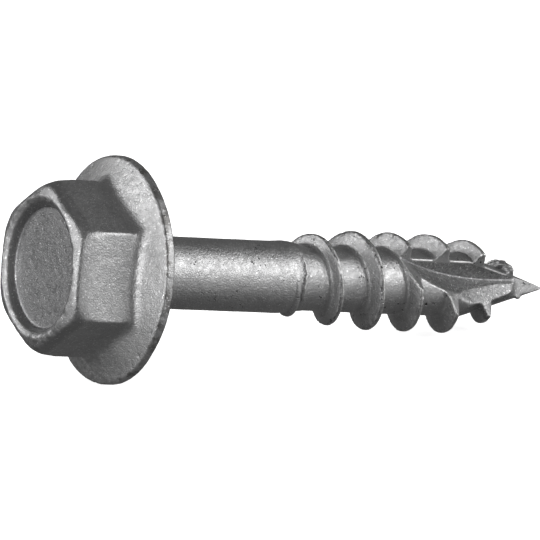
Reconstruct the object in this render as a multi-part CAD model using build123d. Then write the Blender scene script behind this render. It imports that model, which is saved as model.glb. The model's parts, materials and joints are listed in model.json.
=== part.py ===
from build123d import *
import os
from math import atan2, ceil, cos, degrees, radians, sin, sqrt, tan

# A hexagon-flange lag screw with a milled, self-drilling point, formed from one blank.
#
# It is modelled on its own axis: +Z runs from the head to the tip and the bearing face of
# the flange is at Z = 0, so the head is below zero. Angles about the axis are in degrees
# from +X, which passes through a corner of the hexagon, and they grow towards +Y. At the
# end the finished screw is laid down on the rim of its flange and the crest of its thread.

# ---- Head, in millimetres ----
ACROSS_FLATS = 9.45  # 3/8 in hexagon, as made
HEAD_HEIGHT = 5.27  # bearing face to the crown of the hexagon
CROWN_RADIUS = 4.9  # where the crown starts to fall away to the six corners
CROWN_ANGLE = 52.0  # fall of the crown at the corners, from the crown's plane
CROWN_EASE = 0.45  # rounding where the flat crown turns down
RECESS_RADIUS = 4.0  # mouth of the shallow round recess in the crown
RECESS_DEPTH = 0.47
RECESS_DRAFT = 30.0  # lean of the recess wall, from the axis
HEX_CORNER_EASE = 0.14  # rounding along the six corners of the hexagon
HEX_FOOT_BEVEL = 0.28  # where the hexagon grows out of the flange

# ---- Flange ----
FLANGE_RADIUS = 7.02
FLANGE_RIM = 0.64  # thickness at the rim
FLANGE_SLOPE = 20.0  # rise of the flange's upper face towards the hexagon
FLANGE_RIM_BREAK = 0.1  # bevel on both edges of the rim
NECK_FILLET = 0.3  # under the flange, round the shank

# ---- Shank, thread and point ----
LENGTH = 31.75  # bearing face to tip, nominally 1-1/4 in
SHANK_RADIUS = 2.25
ROOT_RADIUS = 2.03
MAJOR_RADIUS = 3.1  # 1/4 in thread, as rolled
PITCH = 2.9
CREST_WIDTH = 0.24
FLANK_ANGLE = 20.0  # each flank, from square to the axis
ROOT_EASE = 0.14  # height over the root where a flank spreads into it
ROOT_SPREAD = 55.0  # slope of that spread, from square to the axis
THREAD_LENGTH = 20.0  # first trace of the thread to the tip
THREAD_END = 0.7  # last trace of the thread, back from the tip
RUNOUT_LENGTH = 5.25  # over which the thread grows from the shank to its full height
RUNOUT_CURVE = 0.75  # power of that growth; below 1 it is quick at first
SHANK_STEP = 1.9  # length over which the shank narrows to the root
CREST_TAPER = 7.55  # length over which the crest falls away to the tip
CREST_STOP = 0.35  # where that fall would meet the axis, back from the tip
TAPER_CURVE = 1.6  # power of that fall; above 1 it is slow at first
POINT_LENGTH = 6.45  # length of the cone at the end of the root
TIP_RADIUS = 0.08
THREAD_TURN = -29.8  # angle at which the line of the crest would reach the tip

# ---- The two milled cuts of the point ----
# Each is the bite of a disc cutter that stands in a plane along the axis. Its side leaves
# a flat wall and its rim leaves a hollow floor, lowest at a station back from the tip.
FLUTE_ANGLE = -22.0  # direction in which the first cut's floor faces
FLUTE_FLOOR = 0.6  # least distance of that floor from the axis
FLUTE_STATION = 4.55  # back from the tip
FLUTE_CUTTER = 18.0  # radius of the disc
FLUTE_WALL = 0.02  # offset of the flat wall from the axis
RELIEF_ANGLE = 3.0  # the same five for the second cut
RELIEF_FLOOR = 0.72
RELIEF_STATION = 3.4
RELIEF_CUTTER = 12.0
RELIEF_WALL = 0.15

# ---- How it lies ----
REST_ANGLE = 124.0  # the side of the screw that faces the ground

# ---- How finely the thread is drawn ----
STEPS_PER_TURN = 8
EMBED = 0.14  # how far the thread's ridge is sunk into the core it stands on
CORE_OFFSET = 0.02  # least distance of the ridge's foot from the axis
TOOL_CLEARANCE = 1.0  # how far a trimming or cutting shape reaches past the work

HEX_RADIUS = ACROSS_FLATS / sqrt(3)  # to the corners, as if they were sharp


def polar(radius, angle, z=0.0):
    """A point at a distance and an angle about the screw's axis."""
    return Vector(radius * cos(radians(angle)), radius * sin(radians(angle)), z)


def core_radius(z):
    """Radius of the body under the thread: shank, step down to the root, root, cone."""
    thread_start = LENGTH - THREAD_LENGTH
    cone_start = LENGTH - POINT_LENGTH
    if z < thread_start:
        return SHANK_RADIUS
    if z < thread_start + SHANK_STEP:
        share = (z - thread_start) / SHANK_STEP
        return SHANK_RADIUS + (ROOT_RADIUS - SHANK_RADIUS) * share
    if z < cone_start:
        return ROOT_RADIUS
    share = min((z - cone_start) / POINT_LENGTH, 1.0)
    return ROOT_RADIUS + (TIP_RADIUS - ROOT_RADIUS) * share


def crest_radius(z):
    """Radius of the thread's crest: it grows out of the shank and falls away to the tip."""
    thread_start = LENGTH - THREAD_LENGTH
    taper_start = LENGTH - CREST_TAPER
    taper_end = LENGTH - CREST_STOP
    if z < thread_start + RUNOUT_LENGTH:
        share = max((z - thread_start) / RUNOUT_LENGTH, 0.0)
        sunk = SHANK_RADIUS - EMBED / 2
        return sunk + (MAJOR_RADIUS - sunk) * share**RUNOUT_CURVE
    if z < taper_start:
        return MAJOR_RADIUS
    share = min((z - taper_start) / (taper_end - taper_start), 1.0)
    return MAJOR_RADIUS * (1 - share**TAPER_CURVE)


def crest_station(angle):
    """Distance along the axis at which the crest line passes an unwound angle."""
    return LENGTH + PITCH * (angle - THREAD_TURN) / 360


def blank():
    """Flange, neck, shank, root and point as one turned body."""
    hidden_radius = HEX_RADIUS / 2  # the flange's cone ends inside the hexagon
    cone_rise = (FLANGE_RADIUS - hidden_radius) * tan(radians(FLANGE_SLOPE))
    thread_start = LENGTH - THREAD_LENGTH
    profile = FilletPolyline(
        (0, -FLANGE_RIM - cone_rise),
        (hidden_radius, -FLANGE_RIM - cone_rise),
        (FLANGE_RADIUS - FLANGE_RIM_BREAK, -FLANGE_RIM),
        (FLANGE_RADIUS, FLANGE_RIM_BREAK - FLANGE_RIM),
        (FLANGE_RADIUS, -FLANGE_RIM_BREAK),
        (FLANGE_RADIUS - FLANGE_RIM_BREAK, 0),
        (SHANK_RADIUS, 0),
        (SHANK_RADIUS, thread_start),
        (ROOT_RADIUS, thread_start + SHANK_STEP),
        (ROOT_RADIUS, LENGTH - POINT_LENGTH),
        (TIP_RADIUS, LENGTH),
        (0, LENGTH),
        radius=[0] * 6 + [NECK_FILLET] + [0] * 5,
        close=True,
    )
    section = Plane.XZ * make_face(profile)
    return revolve(section, Axis.Z)


def hexagon():
    """The driven hexagon, its crown turned down at the corners and recessed."""
    seat = -FLANGE_RIM
    prism = extrude(RegularPolygon(HEX_RADIUS, 6, rotation=0), HEAD_HEIGHT)
    prism = fillet(prism.edges().filter_by(Axis.Z), HEX_CORNER_EASE)
    prism = Pos(0, 0, -HEAD_HEIGHT) * prism
    outside = HEX_RADIUS + TOOL_CLEARANCE
    drop = (outside - CROWN_RADIUS) * tan(radians(CROWN_ANGLE))
    floor_radius = RECESS_RADIUS - RECESS_DEPTH * tan(radians(RECESS_DRAFT))
    profile = FilletPolyline(
        (0, seat),
        (outside, seat),
        (outside, drop - HEAD_HEIGHT),
        (CROWN_RADIUS, -HEAD_HEIGHT),
        (RECESS_RADIUS, -HEAD_HEIGHT),
        (floor_radius, RECESS_DEPTH - HEAD_HEIGHT),
        (0, RECESS_DEPTH - HEAD_HEIGHT),
        radius=[0, 0, 0, CROWN_EASE, 0, 0, 0],
        close=True,
    )
    crown = revolve(Plane.XZ * make_face(profile), Axis.Z)
    return prism & crown


def head_and_shank():
    """The blank with its hexagon, bevelled where the hexagon stands on the flange."""
    body = blank() + hexagon()
    flange_top = body.faces().filter_by(GeomType.CONE).sort_by(SortBy.AREA)[-1]
    foot = flange_top.edges().filter_by(
        lambda edge: edge.geom_type in (GeomType.HYPERBOLA, GeomType.BSPLINE)
    )
    return chamfer(foot, HEX_FOOT_BEVEL)


def ridge_section(angle):
    """The six corners of the thread's ridge at one unwound angle, from root to root."""
    z = crest_station(angle)
    crest = crest_radius(z)
    ahead = PITCH / 4  # where the core narrows, the foot follows its thinner side
    foot = max(core_radius(z + ahead) - EMBED, CORE_OFFSET)
    knee = foot + min(EMBED + ROOT_EASE, (crest - foot) / 2)
    half_crest = CREST_WIDTH / 2
    half_knee = half_crest + (crest - knee) * tan(radians(FLANK_ANGLE))
    half_foot = half_knee + (knee - foot) * tan(radians(ROOT_SPREAD))
    return [
        polar(foot, angle, z - half_foot),
        polar(knee, angle, z - half_knee),
        polar(crest, angle, z - half_crest),
        polar(crest, angle, z + half_crest),
        polar(knee, angle, z + half_knee),
        polar(foot, angle, z + half_foot),
    ]


def ridge(first, last, steps):
    """A stretch of the ridge, ruled between the helical lines that its corners draw."""
    angles = [first + (last - first) * i / steps for i in range(steps + 1)]
    sections = [ridge_section(angle) for angle in angles]
    corners = range(len(sections[0]))
    lines = [
        Edge.make_spline([section[k] for section in sections], parameters=angles)
        for k in corners
    ]
    ribbons = [Face.make_surface_from_curves(lines[k - 1], lines[k]) for k in corners]
    ends = [Face(Wire.make_polygon(sections[i], close=True)) for i in (0, -1)]
    return Solid(Shell(ribbons + ends))


def thread():
    """The right-hand thread as a list of stretches, each about a turn long."""
    last = THREAD_TURN - 360 * THREAD_END / PITCH
    first = THREAD_TURN - 360 * THREAD_LENGTH / PITCH
    count = ceil((last - first) / 360)
    turn = (last - first) / count
    starts = [first + turn * i for i in range(count)]
    return [ridge(start, start + turn, STEPS_PER_TURN) for start in starts]


def disc_cut(angle, floor, station, radius, wall):
    """The bite of one disc cutter into the point, on the side where angles grow."""
    width = MAJOR_RADIUS + TOOL_CLEARANCE
    along = polar(1, angle + 90)
    centre = polar(floor + radius, angle, LENGTH - station) + along * wall
    return Plane(origin=centre, x_dir=(0, 0, 1), z_dir=along) * Cylinder(
        radius, width, align=(Align.CENTER, Align.CENTER, Align.MIN)
    )


def lag_screw():
    """The whole screw on its own axis."""
    body = head_and_shank()
    for turn in thread():
        body += turn
    body -= disc_cut(FLUTE_ANGLE, FLUTE_FLOOR, FLUTE_STATION, FLUTE_CUTTER, FLUTE_WALL)
    body -= disc_cut(
        RELIEF_ANGLE, RELIEF_FLOOR, RELIEF_STATION, RELIEF_CUTTER, RELIEF_WALL
    )
    return body


def rest_slope():
    """How far the axis dips to the tip, in degrees, when the screw lies on flat ground.

    It rests on the lower edge of the flange's rim and on the first point of the crest
    that the ground meets as the screw tips down.
    """
    rim = FLANGE_RADIUS - FLANGE_RIM_BREAK
    slopes = []
    for degree in range(-180, 180):
        for turn in range(ceil(THREAD_LENGTH / PITCH)):
            z = crest_station(REST_ANGLE + degree - 360 * turn) + CREST_WIDTH / 2
            if z < LENGTH:
                reach = crest_radius(z) * cos(radians(degree))
                slopes.append(atan2(rim - reach, z))
    return degrees(min(slopes))


def laid_down(screw):
    """The screw at rest on its side, head at -X and tip at +X, standing on Z = 0."""
    lying = Rot(0, 90 + rest_slope(), 0) * Rot(0, 0, -REST_ANGLE) * screw
    box = lying.bounding_box()
    return Pos(-box.center().X, -box.center().Y, -box.min.Z) * lying


os.makedirs("parts", exist_ok=True)
export_step(laid_down(lag_screw()), "parts/lag_screw.step")
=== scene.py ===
# %% [markdown]
# # A zinc-coated lag screw
# A lag screw is a wood screw that is driven with a socket. This one is a single piece of
# steel with a hexagon head, a flange, a smooth shank, a rolled thread and a milled point,
# and it is coated with zinc. The CAD model gives its exact size and shape. This lesson adds
# what the CAD leaves out: the uneven skin of the coating, the folds and nicks that rolling
# leaves in the thread, and a dull metallic finish with pits. Glints on a few flakes,
# highlights on the edges and shade in the corners, the seam and the fold are painted into
# its colour.

# %% Load the frame
import json
from math import cos, pi, radians, sin

import bmesh
import bpy
import numpy as np
from mathutils import Matrix, Vector, noise


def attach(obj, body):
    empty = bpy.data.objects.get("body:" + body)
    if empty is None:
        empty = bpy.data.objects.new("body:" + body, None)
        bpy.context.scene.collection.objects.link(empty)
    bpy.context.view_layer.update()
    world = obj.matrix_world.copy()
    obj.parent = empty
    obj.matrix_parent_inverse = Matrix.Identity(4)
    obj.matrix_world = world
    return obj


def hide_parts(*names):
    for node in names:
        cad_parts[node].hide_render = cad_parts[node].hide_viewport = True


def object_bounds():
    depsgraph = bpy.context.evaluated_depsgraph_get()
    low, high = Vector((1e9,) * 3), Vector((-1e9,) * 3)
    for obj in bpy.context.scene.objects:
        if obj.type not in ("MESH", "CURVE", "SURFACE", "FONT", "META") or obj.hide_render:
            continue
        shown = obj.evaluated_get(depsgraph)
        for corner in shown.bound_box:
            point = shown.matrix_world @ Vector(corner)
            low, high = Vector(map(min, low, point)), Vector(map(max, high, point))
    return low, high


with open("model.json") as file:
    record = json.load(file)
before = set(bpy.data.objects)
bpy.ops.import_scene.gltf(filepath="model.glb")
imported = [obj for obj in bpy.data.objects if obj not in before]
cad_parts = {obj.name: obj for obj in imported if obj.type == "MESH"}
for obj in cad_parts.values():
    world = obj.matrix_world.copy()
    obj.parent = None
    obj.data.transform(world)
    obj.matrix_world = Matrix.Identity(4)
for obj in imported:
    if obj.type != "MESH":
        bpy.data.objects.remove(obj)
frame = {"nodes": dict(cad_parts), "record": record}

MM = 0.001
cad_box = [list(corner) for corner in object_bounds()]
print("CAD box in mm:", [[round(c / MM, 2) for c in corner] for corner in cad_box])

# %% [markdown]
# ## The screw's own axis
# The screw lies on the ground, so its axis slopes. What follows the thread is easier to
# describe on the screw itself: a distance along the axis, a radius and an angle. The
# frame's record names the tip, the crown of the head and a point of the bearing face, and
# those three places are enough to find the axis and the zero of the angle.

# %% Find the screw's axes
mounts = {mount["name"]: mount for mount in frame["record"]["mounts"]}
tip = Vector(mounts["thread"]["pos_m"])
crown = Vector(mounts["hex_drive"]["pos_m"])
axis = Vector(mounts["thread"]["axis"]).normalized()
on_bearing = Vector(mounts["bearing_face"]["pos_m"])
bearing = tip + axis * (on_bearing - tip).dot(axis)

SKY_ANGLE = 304.0  # angle on the screw, in degrees, of the side that faces the sky
skyward = (on_bearing - bearing).normalized()
sideways = axis.cross(skyward)
zero = skyward * cos(radians(SKY_ANGLE)) - sideways * sin(radians(SKY_ANGLE))
screw_axes = Matrix((zero, axis.cross(zero), axis)).transposed()
LENGTH = (tip - bearing).length / MM
HEAD_HEIGHT = (bearing - crown).length / MM
print(f"under the head {LENGTH:.2f} mm, head {HEAD_HEIGHT:.2f} mm")

# %% [markdown]
# ## The sizes of the part
# The finish has to find the thread, the flange and the cuts again, so it needs some of the
# sizes that the part's source is built from. They are in millimetres and degrees here.

# %% Repeat the sizes of the part
PITCH = 2.9
THREAD_TURN = -29.8  # angle at which the crest's line would reach the end of the tip
SHANK_RADIUS = 2.25
FLANGE_RADIUS = 7.02
FLANGE_RIM = 0.64  # thickness of the rim
FLANGE_SLOPE = 20.0
FACE_DISTANCE = 9.45 / 2  # from the axis to a flat of the hexagon
RECESS_RADIUS = 4.0
ROOT_RADIUS = 2.03
RELIEF_ANGLE = 3.0  # direction in which the floor of the second cut faces
TIP_BLUNT = 0.07  # radius of the cone at the very end
TIP_SLOPE = 0.31  # how fast the cone's radius grows from there
print("pitch", PITCH, "mm, flats", 2 * FACE_DISTANCE, "mm apart")

# %% [markdown]
# ## The skin
# The zinc is one continuous layer that rounds every edge of the steel. A voxel remesh
# gives that: it wraps the CAD shape in an even net and softens each edge by about a voxel.
# The net is also what the later dents and lumps need, because a CAD mesh has long thin
# triangles with no points inside them to move. The wrap works on a merged copy, since the
# CAD mesh is loose triangles, and in millimetres, which suits its smallest voxel.

# %% Copy the shape in millimetres
MERGE = 0.0005  # corners of the CAD triangles that lie closer than this are one

skin = bpy.data.meshes.new("zinc_skin")
shaping = bmesh.new()
shaping.from_mesh(frame["nodes"]["lag_screw"].data)
bmesh.ops.remove_doubles(shaping, verts=shaping.verts, dist=MERGE * MM)
bmesh.ops.scale(shaping, vec=(1 / MM,) * 3, verts=shaping.verts)
shaping.to_mesh(skin)
shaping.free()
screw = bpy.data.objects.new("zinc_coated_screw", skin)
bpy.context.scene.collection.objects.link(screw)
print("copy:", len(skin.vertices), "points")

# %% [markdown]
# ### The net
# Two modifiers do the work: Remesh wraps the shape, and Smooth evens the small steps that
# its voxels leave. A modifier only changes what is shown, so its result is then taken over
# as the object's own mesh, whose points can be moved one by one.

# %% Wrap the shape in an even net
VOXEL = 0.072


def settle(shape):
    """Replaces an object's mesh by what its modifiers make of it."""
    bpy.context.view_layer.update()
    ready = shape.evaluated_get(bpy.context.evaluated_depsgraph_get())
    mesh = bpy.data.meshes.new_from_object(ready)
    old = shape.data
    shape.modifiers.clear()
    shape.data = mesh
    bpy.data.meshes.remove(old)


wrap = screw.modifiers.new("wrap", "REMESH")
wrap.mode = "VOXEL"
wrap.voxel_size = VOXEL
relax = screw.modifiers.new("relax", "SMOOTH")
relax.factor = 0.5
relax.iterations = 1
settle(screw)
print("net:", len(screw.data.vertices), "points,", len(screw.data.polygons), "faces")

# %% [markdown]
# ## Places on the screw
# Everything that follows is written as a function of place: how far along the axis, how
# far from it, and how far from the crest of the thread. numpy works these out for all the
# points of the net at once, which is far quicker than a loop. The first helper reads a
# mesh into an array. The second is a soft step from 0 to 1, and nearly every mask that
# follows is a product of such steps.

# %% Helpers for places
def read_points(mesh, attribute):
    """All vertex positions or normals of a mesh as an array."""
    values = np.empty(len(mesh.vertices) * 3, np.float32)
    mesh.vertices.foreach_get(attribute, values)
    return values.reshape(-1, 3).astype(float)


def smooth_step(low, high, values):
    """0 below low, 1 above high, and an even S between; reversed if low is above high."""
    share = np.clip((values - low) / (high - low), 0, 1)
    return share * share * (3 - 2 * share)


print("half way up a step:", smooth_step(0, 1, 0.5))

# %% [markdown]
# ### Stations, radii and angles
# A station is the distance along the axis from the bearing face, positive towards the tip
# and negative in the head. The crest of the thread is where a whole number of turns fits
# between a point and the tip, so the distance to it follows from station and angle.

# %% Read the places
points = read_points(screw.data, "co")
on_screw = (points - np.array(bearing) / MM) @ np.array(screw_axes)
radius = np.hypot(on_screw[:, 0], on_screw[:, 1])
angle = np.degrees(np.arctan2(on_screw[:, 1], on_screw[:, 0]))
station = on_screw[:, 2]
turns = (station - LENGTH) / PITCH - (angle - THREAD_TURN) / 360
from_crest = (turns - np.round(turns)) * PITCH
print("radius up to", round(radius.max(), 2), "mm")
print("stations from", round(station.min(), 2), "to", round(station.max(), 2), "mm")

# %% [markdown]
# ## Rounded forging
# A cold-forged head has no sharp turns where the die did not fill: the crown rolls over
# into the corners of the hexagon, and a small hollow runs round the hexagon's foot. Moving
# each point to the mean of its neighbours, again and again, rounds a shape like that. A
# weight keeps it to those two zones, so that the flats stay flat and the thread crisp.

# %% Find the two zones
FOOT_SIDE = (0.7, 0.3)  # distances from the flats: where rounding begins, where it is full
FOOT_RISE = (0.8, 0.3)  # the same from the cone of the flange
CROWN_RISE = (3.7, 4.6)  # heights over the bearing face
CROWN_MOUTH = (3.8, 4.2)  # radii

facings = 30 + 60 * np.arange(6)
over_flats = radius[:, None] * np.cos(np.radians(angle[:, None] - facings))
off_flat = over_flats.max(axis=1) - FACE_DISTANCE
cone_height = FLANGE_RIM + (FLANGE_RADIUS - radius) * np.tan(np.radians(FLANGE_SLOPE))
above_cone = -station - cone_height
foot = smooth_step(*FOOT_SIDE, np.abs(off_flat)) * smooth_step(*FOOT_RISE, np.abs(above_cone))
crown_ring = smooth_step(*CROWN_RISE, -station) * smooth_step(*CROWN_MOUTH, radius)
print("points in the foot:", int((foot > 0).sum()))
print("points in the crown:", int((crown_ring > 0).sum()))

# %% [markdown]
# ### Averaging
# The edges of the net say which points are neighbours. bincount adds up the neighbours of
# every point at once, and dividing by their number gives the mean.

# %% Average the points there
ROUNDING_STEPS = 36


def read_links(mesh):
    """The two ends of every edge, in both directions."""
    ends = np.empty(len(mesh.edges) * 2, np.int32)
    mesh.edges.foreach_get("vertices", ends)
    ends = ends.reshape(-1, 2)
    return np.concatenate([ends, ends[:, ::-1]]).T


start, stop = read_links(screw.data)
count = np.bincount(start, minlength=len(points))
weight = np.clip(foot + crown_ring, 0, 1)[:, None]
sharp = points.copy()
for _ in range(ROUNDING_STEPS):
    sums = [np.bincount(start, points[stop, k], minlength=len(points)) for k in range(3)]
    points += weight * (np.stack(sums, axis=1) / count[:, None] - points)
print("rounded by up to", round(np.abs(points - sharp).max(), 2), "mm")

# %% [markdown]
# ## The crown
# The metal round the recess was squeezed up as the recess was punched, so the crown
# stands a little proud of the plane that the CAD gives it, and its floor with it.

# %% Lift the crown
RING_LIFT = 0.24
RING_RISE = (4.2, 5.1)  # heights between which the lift of the ring grows
FLOOR_LIFT = 0.09
FLOOR_RISE = (4.4, 4.7)

in_recess = RECESS_RADIUS - 0.3
ring = smooth_step(*RING_RISE, -station) * smooth_step(in_recess, RECESS_RADIUS, radius)
floor_part = smooth_step(*FLOOR_RISE, -station) * smooth_step(RECESS_RADIUS, in_recess, radius)
lift = RING_LIFT * ring + FLOOR_LIFT * floor_part
points -= np.array(axis) * lift[:, None]
print("crown lifted by", round(lift.max(), 2), "mm")

# %% [markdown]
# ## The first turn
# The dies fill out the first turn of the thread a little more than the even growth in the
# CAD. Its ridge is drawn up by a share of its own height over the shank. On the same side
# the shank bulges a little where the dies first take hold.

# %% Draw up the first turn
TURN_BEGINS = (12.2, 13.2)  # stations where the rise starts and is full
TURN_ENDS = (14.9, 14.0)  # stations where it is gone and is still full
DRAW_UP = 0.36  # share of the ridge's height
BULGE = 0.10
BULGE_STATION = 12.2  # its middle
BULGE_ANGLE = -50.0
BULGE_LENGTH = 0.8  # how far it reaches from there along the axis, and round it in degrees
BULGE_SPREAD = 40.0

rise = smooth_step(*TURN_BEGINS, station) * smooth_step(*TURN_ENDS, station)
rise = DRAW_UP * rise * np.clip(radius - SHANK_RADIUS, 0, None)
off_middle = ((station - BULGE_STATION) / BULGE_LENGTH) ** 2
rise += BULGE * np.exp(-off_middle - ((angle - BULGE_ANGLE) / BULGE_SPREAD) ** 2)
away = on_screw * (1, 1, 0) / np.maximum(radius, 0.01)[:, None]
points += (away * rise[:, None]) @ np.array(screw_axes).T
print("first turn drawn up by", round(rise.max(), 3), "mm")

# %% [markdown]
# ## The tip
# The second cut runs on to the very tip, where it leaves a narrow flat. Points that stick
# out over the plane of the flat are moved down on to it. Beside the flat the last thread
# is only a low stub. The normals are read here, for the push along them that follows.

# %% Flatten the tip
TIP_FLAT_FROM = 29.0
TIP_FLAT_ANGLE = 20.0  # direction in which the flat faces
TIP_FLAT_LEVEL = 0.66  # its distance from the axis where it begins; at the tip it is 0
STUB_FROM = 29.0
STUB_SIDES = ((15, 35), (175, 150))  # angles between which the stub is cut down
STUB_CUT = 0.6  # share of the last thread's height that is missing

tip_radius = TIP_BLUNT + TIP_SLOPE * (LENGTH - station)
stub = smooth_step(STUB_FROM, STUB_FROM + 0.3, station)
for side in STUB_SIDES:
    stub = stub * smooth_step(*side, angle)
inward = STUB_CUT * stub * np.clip(radius - tip_radius, 0, None)
flat_way = np.array([cos(radians(TIP_FLAT_ANGLE)), sin(radians(TIP_FLAT_ANGLE)), 0])
flat_level = TIP_FLAT_LEVEL * (LENGTH - station) / (LENGTH - TIP_FLAT_FROM)
over_flat = np.clip((on_screw - away * inward[:, None]) @ flat_way - flat_level, 0, None)
over_flat = over_flat * smooth_step(TIP_FLAT_FROM - 0.3, TIP_FLAT_FROM + 0.5, station)
points -= (away * inward[:, None] + flat_way * over_flat[:, None]) @ np.array(screw_axes).T
screw.data.vertices.foreach_set("co", points.astype(np.float32).ravel())
screw.data.update()
normals = read_points(screw.data, "normal")
print("flat cut by", round(over_flat.max(), 3), "mm, stub by", round(inward.max(), 3), "mm")

# %% [markdown]
# ## Lumps, waves and nicks
# Barrel plating hammers zinc dust on to the steel with glass beads, which leaves a skin
# that is gently uneven. Two sizes of noise give it: broad swells, and small lumps on top.
# The rim of the flange is as the metal flowed, a little out of round, and it and the
# crests of the thread are nicked where screws knocked together in the barrel.
#
# All of this, and the lip, folds and burr after it, is added up as one push along the
# normal of each point, and the points are moved once at the end.

# %% Add the lumps, waves and nicks
SWELL = 0.010  # each height or depth is followed by the size of its lumps
SWELL_SIZE = 1.1
LUMP = 0.007
LUMP_SIZE = 0.34
WAVE = 0.05
WAVE_SIZE = 2.6
NICK = 0.06
NICK_SIZE = 0.5
CREST_RISE = (2.7, 3.0)  # radii from which a point counts as on the crest


def uneven(places, size, seed):
    """Smooth noise from -1 to 1 at each place, with lumps of about the given size."""
    shift = Vector((seed, seed * 0.7, seed * 1.3))
    return np.array([noise.noise(Vector(place) / size + shift) for place in places])


push = SWELL * uneven(points, SWELL_SIZE, 3.0) + LUMP * uneven(points, LUMP_SIZE, 11.0)

on_rim = smooth_step(FLANGE_RADIUS - 0.6, FLANGE_RADIUS - 0.15, radius)
on_crest = smooth_step(*CREST_RISE, radius) * smooth_step(0.5, 1.0, station)
knocked = np.nonzero(on_rim + on_crest > 0)[0]
nicks = uneven(points[knocked], NICK_SIZE, 23.0)
push[knocked] -= NICK * (on_rim + on_crest)[knocked] * smooth_step(0.3, 0.75, nicks)
push[knocked] += WAVE * on_rim[knocked] * uneven(points[knocked], WAVE_SIZE, 31.0)
print("pushed by", round(push.min(), 3), "to", round(push.max(), 3), "mm")

# %% [markdown]
# ## The crown's lip
# Punching the recess raises its mouth into a soft, uneven lip, which the barrel has
# burnished. The lighter colour on its top comes later with the other edges, and is partly
# painted highlight.

# %% Raise the lip
LIP = 0.075
LIP_OFFSET = 0.3  # from the mouth of the recess to the top of the lip
LIP_WIDTH = 0.26
LIP_RISE = (4.4, 4.9)  # heights over the bearing face

on_lip = np.exp(-(((radius - RECESS_RADIUS - LIP_OFFSET) / LIP_WIDTH) ** 2))
on_lip = on_lip * smooth_step(*LIP_RISE, -station)
push += LIP * on_lip * (1 + 0.5 * uneven(points, 0.5, 41.0))
print("points on the lip:", int((on_lip > 0.5).sum()))

# %% [markdown]
# ## The fold where the thread begins
# The rolling dies push a little metal ahead of them. Where the thread begins, it has
# lapped over into a fold that runs part of the way round the shank. It is a narrow groove
# with a low bank behind it, drawn where the distance from a line on the shank is small.

# %% Cut the fold
FOLD_STATION = 12.38
FOLD_ENDS = ((-25, 0), (80, 55))  # angles where each end starts and where it is full
FOLD_TURN = (20, 80)  # angles between which the fold leaves for the thread
FOLD_LEAD = 0.12  # how far towards the tip it has gone then
FOLD_OUTSIDE = (2.6, 2.4)  # radii over which it is gone
FOLD_DEPTH = 0.08
FOLD_WIDTH = 0.06
FOLD_WAVES = ((0.05, 6, 0.0), (0.03, 23, 1.0))  # height in mm, waves in a full turn, phase
BANK = 0.03
BANK_OFFSET = 0.17
BANK_WIDTH = 0.1

bearings = np.radians(angle)
wander = sum(size * np.sin(waves * bearings + phase) for size, waves, phase in FOLD_WAVES)
past_fold = station - FOLD_STATION - wander - FOLD_LEAD * smooth_step(*FOLD_TURN, angle)
in_fold = smooth_step(*FOLD_ENDS[0], angle) * smooth_step(*FOLD_ENDS[1], angle)
in_fold = in_fold * smooth_step(*FOLD_OUTSIDE, radius)
push -= FOLD_DEPTH * in_fold * np.exp(-((past_fold / FOLD_WIDTH) ** 2))
push += BANK * in_fold * np.exp(-(((past_fold - BANK_OFFSET) / BANK_WIDTH) ** 2))
print("points near the fold:", int((in_fold * (np.abs(past_fold) < FOLD_WIDTH) > 0).sum()))

# %% [markdown]
# ## The seam of the first turns
# A rolled thread closes over at its crest, where the metal from both flanks meets. On the
# first turns it has not closed quite, and a seam is left just before the crest.

# %% Cut the seam
SEAM_OFFSET = 0.09  # towards the head from the crest's line
SEAM_DEPTH = 0.06
SEAM_WIDTH = 0.055
SEAM_WAVES = ((0.025, 5, 2.0), (0.012, 37, 7.0))  # as for the fold, the phase per mm
SEAM_BEGINS = (12.0, 13.0)  # stations where it starts and is full
SEAM_ENDS = (21, 16)  # stations where it is gone and is still full

sway = sum(
    size * np.sin(waves * bearings + phase * station) for size, waves, phase in SEAM_WAVES
)
in_seam = np.exp(-(((from_crest + SEAM_OFFSET + sway) / SEAM_WIDTH) ** 2))
in_seam = in_seam * smooth_step(2.5, 2.75, radius)
cut = SEAM_DEPTH * in_seam * smooth_step(*SEAM_BEGINS, station) * smooth_step(*SEAM_ENDS, station)
push -= cut
print("seam cut by", round(cut.max(), 3), "mm")

# %% [markdown]
# ## The crumpled last turn
# Near the point the dies ran out of metal. The last turn that the first cut leaves
# standing is not a clean ridge but a burr of three or four folds that follow the thread.

# %% Crumple it
BURR = 0.17
BURR_STATIONS = ((27.75, 28.05), (29.2, 28.9))  # each end: where it starts, where it is full
BURR_RADII = (1.1, 1.35)
BURR_ANGLES = ((-150, -120), (5, -15))
FOLD_PITCH = 0.3125  # across the folds, in mm
FOLD_REACH = 32  # along the folds, in degrees

in_burr = smooth_step(*BURR_STATIONS[0], station) * smooth_step(*BURR_STATIONS[1], station)
in_burr = in_burr * smooth_step(*BURR_RADII, radius)
for side in BURR_ANGLES:
    in_burr = in_burr * smooth_step(*side, angle)
burred = np.nonzero(in_burr > 0)[0]
folds = np.stack([from_crest / FOLD_PITCH, radius / FOLD_PITCH, angle / FOLD_REACH], axis=1)
creases = np.abs(uneven(folds[burred], 1.0, 7.0))
push[burred] += BURR * in_burr[burred] * (0.2 - creases * 2.2)
print("points in the burr:", len(burred))

# %% [markdown]
# ## Moving the points
# The whole push now moves each point along its normal. One move is safer than many small
# ones, because the normals of the moved shape would differ from step to step.

# %% Move the points once
points += normals * push[:, None]
screw.data.vertices.foreach_set("co", points.astype(np.float32).ravel())
screw.data.update()
print("all pushes from", round(push.min(), 3), "to", round(push.max(), 3), "mm")

# %% [markdown]
# ## Fewer triangles
# The even net has far more faces on the flat parts than they need. A decimate modifier
# merges the ones that say least, and keeps the piece easy to handle. Then the skin goes
# back to metres, rides on the part's only body, and takes the place of the CAD shape.

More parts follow.
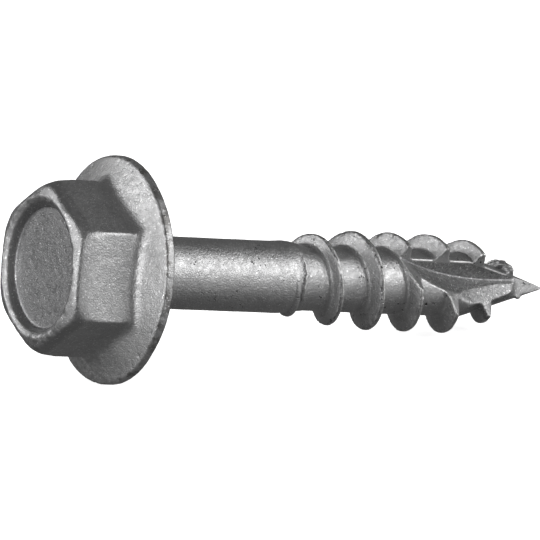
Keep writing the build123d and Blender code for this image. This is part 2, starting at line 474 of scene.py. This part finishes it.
# %% Thin the net
TRIANGLES = 190000
thin = screw.modifiers.new("thin", "DECIMATE")
thin.ratio = TRIANGLES / (2 * len(screw.data.polygons))
settle(screw)
screw.data.transform(Matrix.Scale(MM, 4))
screw.data.polygons.foreach_set("use_smooth", [True] * len(screw.data.polygons))
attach(screw, "root")
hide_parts("lag_screw")
print("thinned:", len(screw.data.polygons), "faces")

# %% [markdown]
# ## Burnished edges and shaded corners, painted from the bend
# Zinc is thin and burnished on sharp edges, and their lighter colour is also a painted
# highlight; corners are painted darker as shade. How sharply the skin bends at a point tells
# the two apart: its neighbours lie below an edge and above a corner. The bend is worked out
# once, smoothed a little, and kept on the mesh as an attribute that the material can read.

# %% Measure the bend of the skin
BEND_FULL = 0.16  # bend, as a share of the distance to the neighbours, that counts as an edge
BEND_SMOOTHING = 3

points = read_points(screw.data, "co") / MM
normals = read_points(screw.data, "normal")
start, stop = read_links(screw.data)
count = np.bincount(start, minlength=len(points))
step = points[stop] - points[start]
rise = (step * normals[start]).sum(axis=1) / np.linalg.norm(step, axis=1)
bend = np.bincount(start, -rise, minlength=len(points)) / count
for _ in range(BEND_SMOOTHING):
    bend = (bend + np.bincount(start, bend[stop], minlength=len(points)) / count) / 2
bend_layer = screw.data.attributes.new("bend", "FLOAT", "POINT")
bend_layer.data.foreach_set("value", np.clip(bend / BEND_FULL, -1, 1).astype(np.float32))
print("bend percentiles:", np.round(np.percentile(bend, (1, 10, 50, 90, 99)), 3))

# %% [markdown]
# ## Building blocks for the finish
# A material is a graph of small nodes. These helpers add a node, set its values and link
# its inputs in one line, so that the recipes below read from top to bottom.

# %% Helpers for nodes
def add_node(tree, kind, inputs=None, **settings):
    """A new node with its settings; each input is a value or the output to link to it."""
    node = tree.nodes.new(kind)
    for name, value in settings.items():
        setattr(node, name, value)
    for name, value in (inputs or {}).items():
        if isinstance(value, bpy.types.NodeSocket):
            tree.links.new(value, node.inputs[name])
        else:
            node.inputs[name].default_value = value
    return node


def calculate(tree, operation, a, b=0.0):
    """The output of a maths node."""
    return add_node(tree, "ShaderNodeMath", {0: a, 1: b}, operation=operation).outputs[0]


def multiply(tree, first, *others):
    """The product of two or more values."""
    for other in others:
        first = calculate(tree, "MULTIPLY", first, other)
    return first


def remap(tree, value, low, high, to_low=0.0, to_high=1.0):
    """A value moved smoothly from one range to another and held at both ends."""
    node = add_node(
        tree,
        "ShaderNodeMapRange",
        {"Value": value, "From Min": low, "From Max": high, "To Min": to_low, "To Max": to_high},
        interpolation_type="SMOOTHSTEP",
    )
    return node.outputs["Result"]


print("node helpers: add_node, calculate, multiply, remap")

# %% [markdown]
# ## Zinc
# The coating is dull silver: metallic, rather rough, and grainy like fine orange peel. Its
# pattern is laid out in the screw's own millimetres, which a Mapping node of the Texture
# type works out from Object coordinates, so that sizes read as real ones and marks can
# follow the thread.

# %% Start the zinc and find places on the screw
zinc = bpy.data.materials.new("zinc_coating")
zinc.use_nodes = True
tree = zinc.node_tree
shader = tree.nodes["Principled BSDF"]
to_screw = add_node(
    tree,
    "ShaderNodeMapping",
    {
        "Vector": add_node(tree, "ShaderNodeTexCoord").outputs["Object"],
        "Location": bearing,
        "Rotation": screw_axes.to_euler(),
        "Scale": (MM, MM, MM),
    },
    vector_type="TEXTURE",
)
place = to_screw.outputs["Vector"]
bent = add_node(tree, "ShaderNodeAttribute", attribute_name="bend").outputs["Fac"]
xyz = add_node(tree, "ShaderNodeSeparateXYZ", {0: place}).outputs
along = xyz["Z"]
flattened = {0: place, 1: (1, 1, 0)}
across_axis = add_node(tree, "ShaderNodeVectorMath", flattened, operation="MULTIPLY").outputs[0]
length = add_node(tree, "ShaderNodeVectorMath", {0: across_axis}, operation="LENGTH")
out = length.outputs["Value"]
print("the mapping's location in mm:", [round(c / MM, 2) for c in bearing])

# %% [markdown]
# ### Zinc dust
# Seen close, the skin is made of flattened grains of zinc, each with its own shade. The
# cells of a Voronoi texture are such grains: its colour output is one random colour for
# each cell. Coarser unevenness comes from noise, whose scale is one over the size of its
# lumps.

# %% Lay the grains of zinc
FLAKE = 0.075


def grains(size, detail=2.0):
    """Noise with lumps of about the given size in millimetres."""
    inputs = {"Vector": place, "Scale": 1 / size, "Detail": detail}
    return add_node(tree, "ShaderNodeTexNoise", inputs).outputs["Fac"]


flakes = add_node(tree, "ShaderNodeTexVoronoi", {"Vector": place, "Scale": 1 / FLAKE})
flake = add_node(tree, "ShaderNodeSeparateColor", {0: flakes.outputs["Color"]}).outputs
print("a flake is about", FLAKE, "mm across")

# %% [markdown]
# ### The painted shade in the seam
# The seam along the crest is painted dark, as shade in its groove. Its line is the same sum as
# for the points of the net, done here with maths nodes: the part of a turn by which a place
# misses the crest, plus the two waves. The line is thin where that distance is near zero, and
# noise breaks it up.

# %% Find the seam
bearing_angle = calculate(tree, "ARCTAN2", xyz["Y"], xyz["X"])
around = calculate(tree, "DIVIDE", bearing_angle, 2 * pi)
turn_count = calculate(tree, "SUBTRACT", calculate(tree, "DIVIDE", along, PITCH), around)
turn_count = calculate(tree, "ADD", turn_count, THREAD_TURN / 360 - LENGTH / PITCH)
past = calculate(tree, "SUBTRACT", turn_count, calculate(tree, "ROUND", turn_count))
past = calculate(tree, "ADD", multiply(tree, past, PITCH), SEAM_OFFSET)
for size, waves, phase in SEAM_WAVES:
    swing = multiply(tree, bearing_angle, waves)
    swing = calculate(tree, "ADD", swing, multiply(tree, along, phase))
    past = calculate(tree, "ADD", past, multiply(tree, calculate(tree, "SINE", swing), size))
# Painted shade: a dark line in the seam's groove; the bump below presses the same line in.
seam_shade_and_groove = multiply(
    tree,
    remap(tree, calculate(tree, "ABSOLUTE", past), 0.05, 0.01),
    remap(tree, out, 2.3, 2.45),
    remap(tree, along, 9.0, 11.0),
    remap(tree, along, 24.0, 15.0, 0.2, 1.0),
    remap(tree, grains(0.3, 3.0), 0.42, 0.6),
)
print("the seam's line is 0.1 mm wide at most")

# %% [markdown]
# ### The painted shade in the fold
# The fold before the thread is painted dark too, as shade in its groove, and its line is found
# in the same way. Angles in nodes are in radians, so the ends of the fold are turned into
# radians first.

# %% Find the fold
fold_lead = [radians(end) for end in FOLD_TURN]
fold_line = remap(tree, bearing_angle, *fold_lead, FOLD_STATION, FOLD_STATION + FOLD_LEAD)
past = calculate(tree, "SUBTRACT", along, fold_line)
for size, waves, phase in FOLD_WAVES:
    swing = calculate(tree, "ADD", multiply(tree, bearing_angle, waves), phase)
    swing = multiply(tree, calculate(tree, "SINE", swing), size)
    past = calculate(tree, "SUBTRACT", past, swing)
# Painted shade: a dark line in the fold's groove.
fold_shade = remap(tree, calculate(tree, "ABSOLUTE", past), 0.065, 0.01)
for end in FOLD_ENDS:
    fold_shade = multiply(tree, fold_shade, remap(tree, bearing_angle, *[radians(turn) for turn in end]))
fold_shade = multiply(tree, fold_shade, remap(tree, out, *FOLD_OUTSIDE))
fold_shade = multiply(tree, fold_shade, remap(tree, grains(0.14, 3.0), 0.4, 0.6, 0.1, 0.95))
print("the fold's line is 0.13 mm wide at most")

# %% [markdown]
# ### Pits, wear, painted highlights, glints and shade
# Pits are few on the head and more on the shank and the thread, where they come in
# patches. Edges are burnished light, but not evenly, and that lighter colour is also a
# painted highlight. Corners are painted dark as shade, a few flakes are painted bright as
# glints, and the crests of the thread are mottled. The rim of the flange is stained. Each
# mark is a mask from 0 to 1, made from the bend of the skin, from a place on the screw, or
# from noise.

# %% Make the marks
# Painted shade: the corners of the skin are darker.
corner_shade = remap(tree, bent, -0.3, -0.75)
near_crest = multiply(tree, remap(tree, out, 2.72, 2.95), remap(tree, along, 9.0, 11.0))
mottles = multiply(tree, near_crest, remap(tree, grains(0.3, 3.0), 0.5, 0.6, 0.0, 0.45))
patches = remap(tree, grains(1.6), 0.5, 0.62)
below_head = remap(tree, along, -0.2, 0.6, 0.06, 1.0)
pits = remap(tree, grains(0.24, 1.0), 0.35, 0.29)
pits = multiply(tree, pits, multiply(tree, patches, below_head))
# Painted highlight as well as wear: sharp edges are lighter, unevenly.
rubbed = remap(tree, grains(0.35), 0.3, 0.6, 0.35, 1.0)
edge_wear_and_highlight = multiply(tree, remap(tree, bent, 0.2, 0.9), rubbed)
# Painted glints: a few random flakes are lighter; below they are also a little smoother.
painted_glints = remap(tree, flake[1], 0.93, 0.98)
at_rim = remap(tree, out, FLANGE_RADIUS - 0.2, FLANGE_RADIUS - 0.05)
stains = multiply(tree, remap(tree, grains(0.7, 3.0), 0.48, 0.6), at_rim)
print("nodes so far:", len(tree.nodes))

# %% [markdown]
# ### The milled faces
# The two cuts were milled before plating, and their smooth faces took less zinc. They are
# what lies deeper than the root of the thread, and the floor of the second cut, which is
# found as a slab across the screw. Towards the tip they are as light as the rest.

# %% Find the milled faces
def dot(tree, vector, way):
    """How far a vector reaches along a fixed direction."""
    node = add_node(tree, "ShaderNodeVectorMath", {0: vector, 1: way}, operation="DOT_PRODUCT")
    return node.outputs["Value"]


relief_way = radians(RELIEF_ANGLE)
cone_there = multiply(tree, calculate(tree, "SUBTRACT", LENGTH, along), TIP_SLOPE)
cone_there = calculate(tree, "ADD", cone_there, TIP_BLUNT)
root_there = calculate(tree, "MINIMUM", cone_there, ROOT_RADIUS)
depth = calculate(tree, "DIVIDE", out, root_there)
deeper = multiply(tree, remap(tree, depth, 0.97, 0.9), remap(tree, along, 19.0, 20.0))
towards_cut = dot(tree, place, (cos(relief_way), sin(relief_way), 0))
beside_cut = dot(tree, place, (-sin(relief_way), cos(relief_way), 0))
milled = multiply(
    tree,
    remap(tree, towards_cut, 0.95, 0.85),
    remap(tree, towards_cut, 0.1, 0.5),
    remap(tree, beside_cut, 0.1, 0.25),
    remap(tree, along, 24.5, 26.0),
)
milled = multiply(
    tree,
    calculate(tree, "MAXIMUM", milled, deeper),
    remap(tree, grains(0.14, 3.0), 0.4, 0.62, 1.0, 0.45),
    remap(tree, along, 28.4, 29.6, 1.0, 0.15),
)
print("nodes so far:", len(tree.nodes))

# %% [markdown]
# ### Colour and roughness
# The base is two greys of zinc in soft clouds, made grainy by the flakes. Every mark then
# lies over it as a layer, a share and a colour, in the order in which they came about.
# Bare metal is fully metallic, and how sharply it mirrors is left to the roughness.

# %% Mix the colour
def blend_colours(tree, share, first, second):
    """A mix of two colours; the numbers are the Mix node's colour sockets."""
    node = add_node(tree, "ShaderNodeMix", {0: share, 6: first, 7: second}, data_type="RGBA")
    return node.outputs[2]


clouds = remap(tree, grains(0.9, 4.0), 0.3, 0.7)
fine = calculate(tree, "ADD", flake[0], remap(tree, grains(0.3, 2.0), 0.3, 0.7))
crown_tint = remap(tree, out, RECESS_RADIUS, RECESS_RADIUS - 0.3, 0.5, 0.87)
# The corner, seam and fold layers are painted shade; the edge and glint layers are painted
# highlight, the edges partly wear.
layers = (
    (multiply(tree, fine, 0.25), (0.42, 0.42, 0.42)),
    (multiply(tree, remap(tree, along, -4.4, -4.8), crown_tint), (0.33, 0.33, 0.335)),
    (edge_wear_and_highlight, (0.80, 0.80, 0.79)),
    (corner_shade, (0.30, 0.30, 0.31)),
    (mottles, (0.26, 0.26, 0.265)),
    (milled, (0.27, 0.27, 0.272)),
    (stains, (0.30, 0.295, 0.29)),
    (painted_glints, (0.78, 0.78, 0.78)),
    (multiply(tree, seam_shade_and_groove, 0.8), (0.12, 0.12, 0.125)),
    (fold_shade, (0.09, 0.09, 0.09)),
    (pits, (0.12, 0.12, 0.12)),
)
colour = blend_colours(tree, clouds, (0.52, 0.52, 0.525, 1), (0.60, 0.60, 0.602, 1))
for share, shade in layers:
    colour = blend_colours(tree, share, colour, (*shade, 1))
tree.links.new(colour, shader.inputs["Base Color"])
shader.inputs["Metallic"].default_value = 1.0
rough = remap(tree, grains(0.3, 3.0), 0.3, 0.7, 0.36, 0.5)
rough = calculate(tree, "SUBTRACT", rough, multiply(tree, painted_glints, 0.05))
tree.links.new(rough, shader.inputs["Roughness"])
print("colour layers:", len(layers))

# %% [markdown]
# ### Grain
# The grain is too fine for the net, so it is a bump: it tilts the light on the surface
# and moves nothing. It is two sizes of noise like orange peel, with the seam and the pits
# pressed in, and a little weaker on the crown.

# %% Make the grain
peel = calculate(tree, "ADD", grains(0.1, 3.0), multiply(tree, grains(0.3, 3.0), 0.75))
peel = multiply(tree, peel, remap(tree, along, -4.6, -4.3, 0.7, 1.0))
peel = calculate(tree, "SUBTRACT", peel, multiply(tree, seam_shade_and_groove, 0.8))
peel = calculate(tree, "SUBTRACT", peel, pits)
grain = {"Height": peel, "Strength": 1.0, "Distance": 0.03 * MM}
bump = add_node(tree, "ShaderNodeBump", grain)
tree.links.new(bump.outputs["Normal"], shader.inputs["Normal"])
screw.data.materials.clear()
screw.data.materials.append(zinc)
print("nodes in the zinc:", len(tree.nodes))

# %% [markdown]
# ## Camera
# A long lens from far off and a little above, which shows the head and the whole screw.

# %% Place the camera
CAMERA_AZIMUTH = -31.41
CAMERA_ELEVATION = 12.89
CAMERA_DISTANCE = 372.85 * MM
LENS = 399.1
SENSOR = 36
AIM_RIGHT = -1.406 * MM  # from the middle of the part to where the camera points
AIM_UP = -1.508 * MM


def direction(azimuth, elevation):
    """Unit vector from the object towards a place in the studio, in degrees."""
    a, e = radians(azimuth), radians(elevation)
    return Vector((sin(a) * cos(e), -cos(a) * cos(e), sin(e)))


low, high = cad_box
centre = (Vector(low) + Vector(high)) / 2
towards = direction(CAMERA_AZIMUTH, CAMERA_ELEVATION)
looking = towards.to_track_quat("Z", "Y")
aim = centre + looking @ Vector((AIM_RIGHT, AIM_UP, 0))
lens = bpy.data.cameras.new("camera")
lens.lens = LENS
lens.sensor_width = SENSOR
lens.clip_start = 0.01
camera = bpy.data.objects.new("camera", lens)
camera.location = aim + towards * CAMERA_DISTANCE
camera.rotation_euler = looking.to_euler()
bpy.context.scene.collection.objects.link(camera)
bpy.context.scene.camera = camera
print("view across:", round(SENSOR / LENS * CAMERA_DISTANCE / MM, 1), "mm")

# %% [markdown]
# ## Floor
# White paper under the screw. The metal does not mirror it, so that the shaded side of the
# screw stays dark, as it is over a dark bench.

# %% Lay the floor
FLOOR_REACH = 3.0  # from the middle to a side, in metres
PAPER_GLOW = 0.8

floor_mesh = bpy.data.meshes.new("floor")
shaping = bmesh.new()
bmesh.ops.create_grid(shaping, x_segments=1, y_segments=1, size=FLOOR_REACH)
shaping.to_mesh(floor_mesh)
shaping.free()
floor = bpy.data.objects.new("floor", floor_mesh)
bpy.context.scene.collection.objects.link(floor)
floor.visible_glossy = False
floor.visible_diffuse = False
floor.visible_shadow = False
paper = bpy.data.materials.new("white_paper")
paper.use_nodes = True
paper_shader = paper.node_tree.nodes["Principled BSDF"]
paper_shader.inputs["Base Color"].default_value = (0.85, 0.85, 0.85, 1)
paper_shader.inputs["Roughness"].default_value = 0.9
paper_shader.inputs["Emission Color"].default_value = (1, 1, 1, 1)
paper_shader.inputs["Emission Strength"].default_value = PAPER_GLOW
floor_mesh.materials.append(paper)
print("floor:", 2 * FLOOR_REACH, "m square")

# %% [markdown]
# ## Lights
# Three soft boxes light the metal from the right, the left and behind, as in a small
# studio: dull metal shows its form by the wide reflections of such boxes. A fourth one
# from above is linked to the floor alone and keeps the paper white.

# %% Set up the soft boxes
def softbox(name, azimuth, elevation, distance, width, height, radiance):
    """A rectangular soft light that faces the screw, with its power worked out from its size."""
    light = bpy.data.lights.new(name, "AREA")
    light.shape = "RECTANGLE"
    light.size = width
    light.size_y = height
    light.energy = radiance * pi * width * height
    lamp = bpy.data.objects.new(name, light)
    aside = direction(azimuth, elevation)
    lamp.location = centre + aside * distance
    lamp.rotation_euler = aside.to_track_quat("Z", "Y").to_euler()
    bpy.context.scene.collection.objects.link(lamp)
    return lamp


# Azimuth and elevation in degrees, then distance, width and height in metres, and radiance
softbox("right_softbox", 44, 27, 0.5, 0.44, 0.34, 2.15)
softbox("left_softbox", -75, 12, 0.5, 0.32, 0.26, 2.95)
softbox("rear_softbox", -129, 20, 0.5, 0.28, 0.24, 2.5)
top = softbox("floor_light", -60, 80, 1.0, 0.8, 0.8, 2.2)
for_floor = bpy.data.collections.new("lit_by_floor_light")
for_floor.objects.link(floor)
top.light_linking.receiver_collection = for_floor
print("lights:", len(bpy.data.lights))

# %% [markdown]
# ## The room
# What the boxes leave dark reflects the room. It is a world whose brightness depends only
# on the direction: pale walls at both sides near the horizon, dimmer behind the screw, and
# a dim rest that is darkest in one back corner. The room is plain white where the camera
# sees it directly.

# %% Light the room
world = bpy.data.worlds.new("studio")
world.use_nodes = True
bpy.context.scene.world = world
room = world.node_tree
facing = add_node(room, "ShaderNodeTexCoord").outputs["Generated"]
height = add_node(room, "ShaderNodeSeparateXYZ", {0: facing}).outputs["Z"]
right = dot(room, facing, looking @ Vector((1, 0, 0)))
before = dot(room, facing, towards)
walls = multiply(
    room,
    remap(room, height, -1.1, 0.0),
    remap(room, height, 0.7, 0.2),
    remap(room, calculate(room, "ABSOLUTE", right), 0.25, 0.85),
    remap(room, before, -0.5, 0.3, 0.04, 1.0),
    remap(room, right, -0.6, -0.2, 0.5, 0.6),
)
corner = multiply(room, remap(room, right, -0.3, -0.65), remap(room, before, 0.1, -0.3))
rest = multiply(
    room,
    remap(room, height, -0.9, 0.4, 0.105, 0.125),
    remap(room, corner, 0.0, 1.0, 1.0, 0.45),
)
glow = calculate(room, "ADD", walls, rest)
seen = add_node(room, "ShaderNodeLightPath").outputs["Is Camera Ray"]
glow = calculate(room, "MAXIMUM", glow, seen)
room.links.new(glow, room.nodes["Background"].inputs["Color"])
bpy.context.scene.view_settings.view_transform = "Standard"
print("nodes in the room:", len(room.nodes))
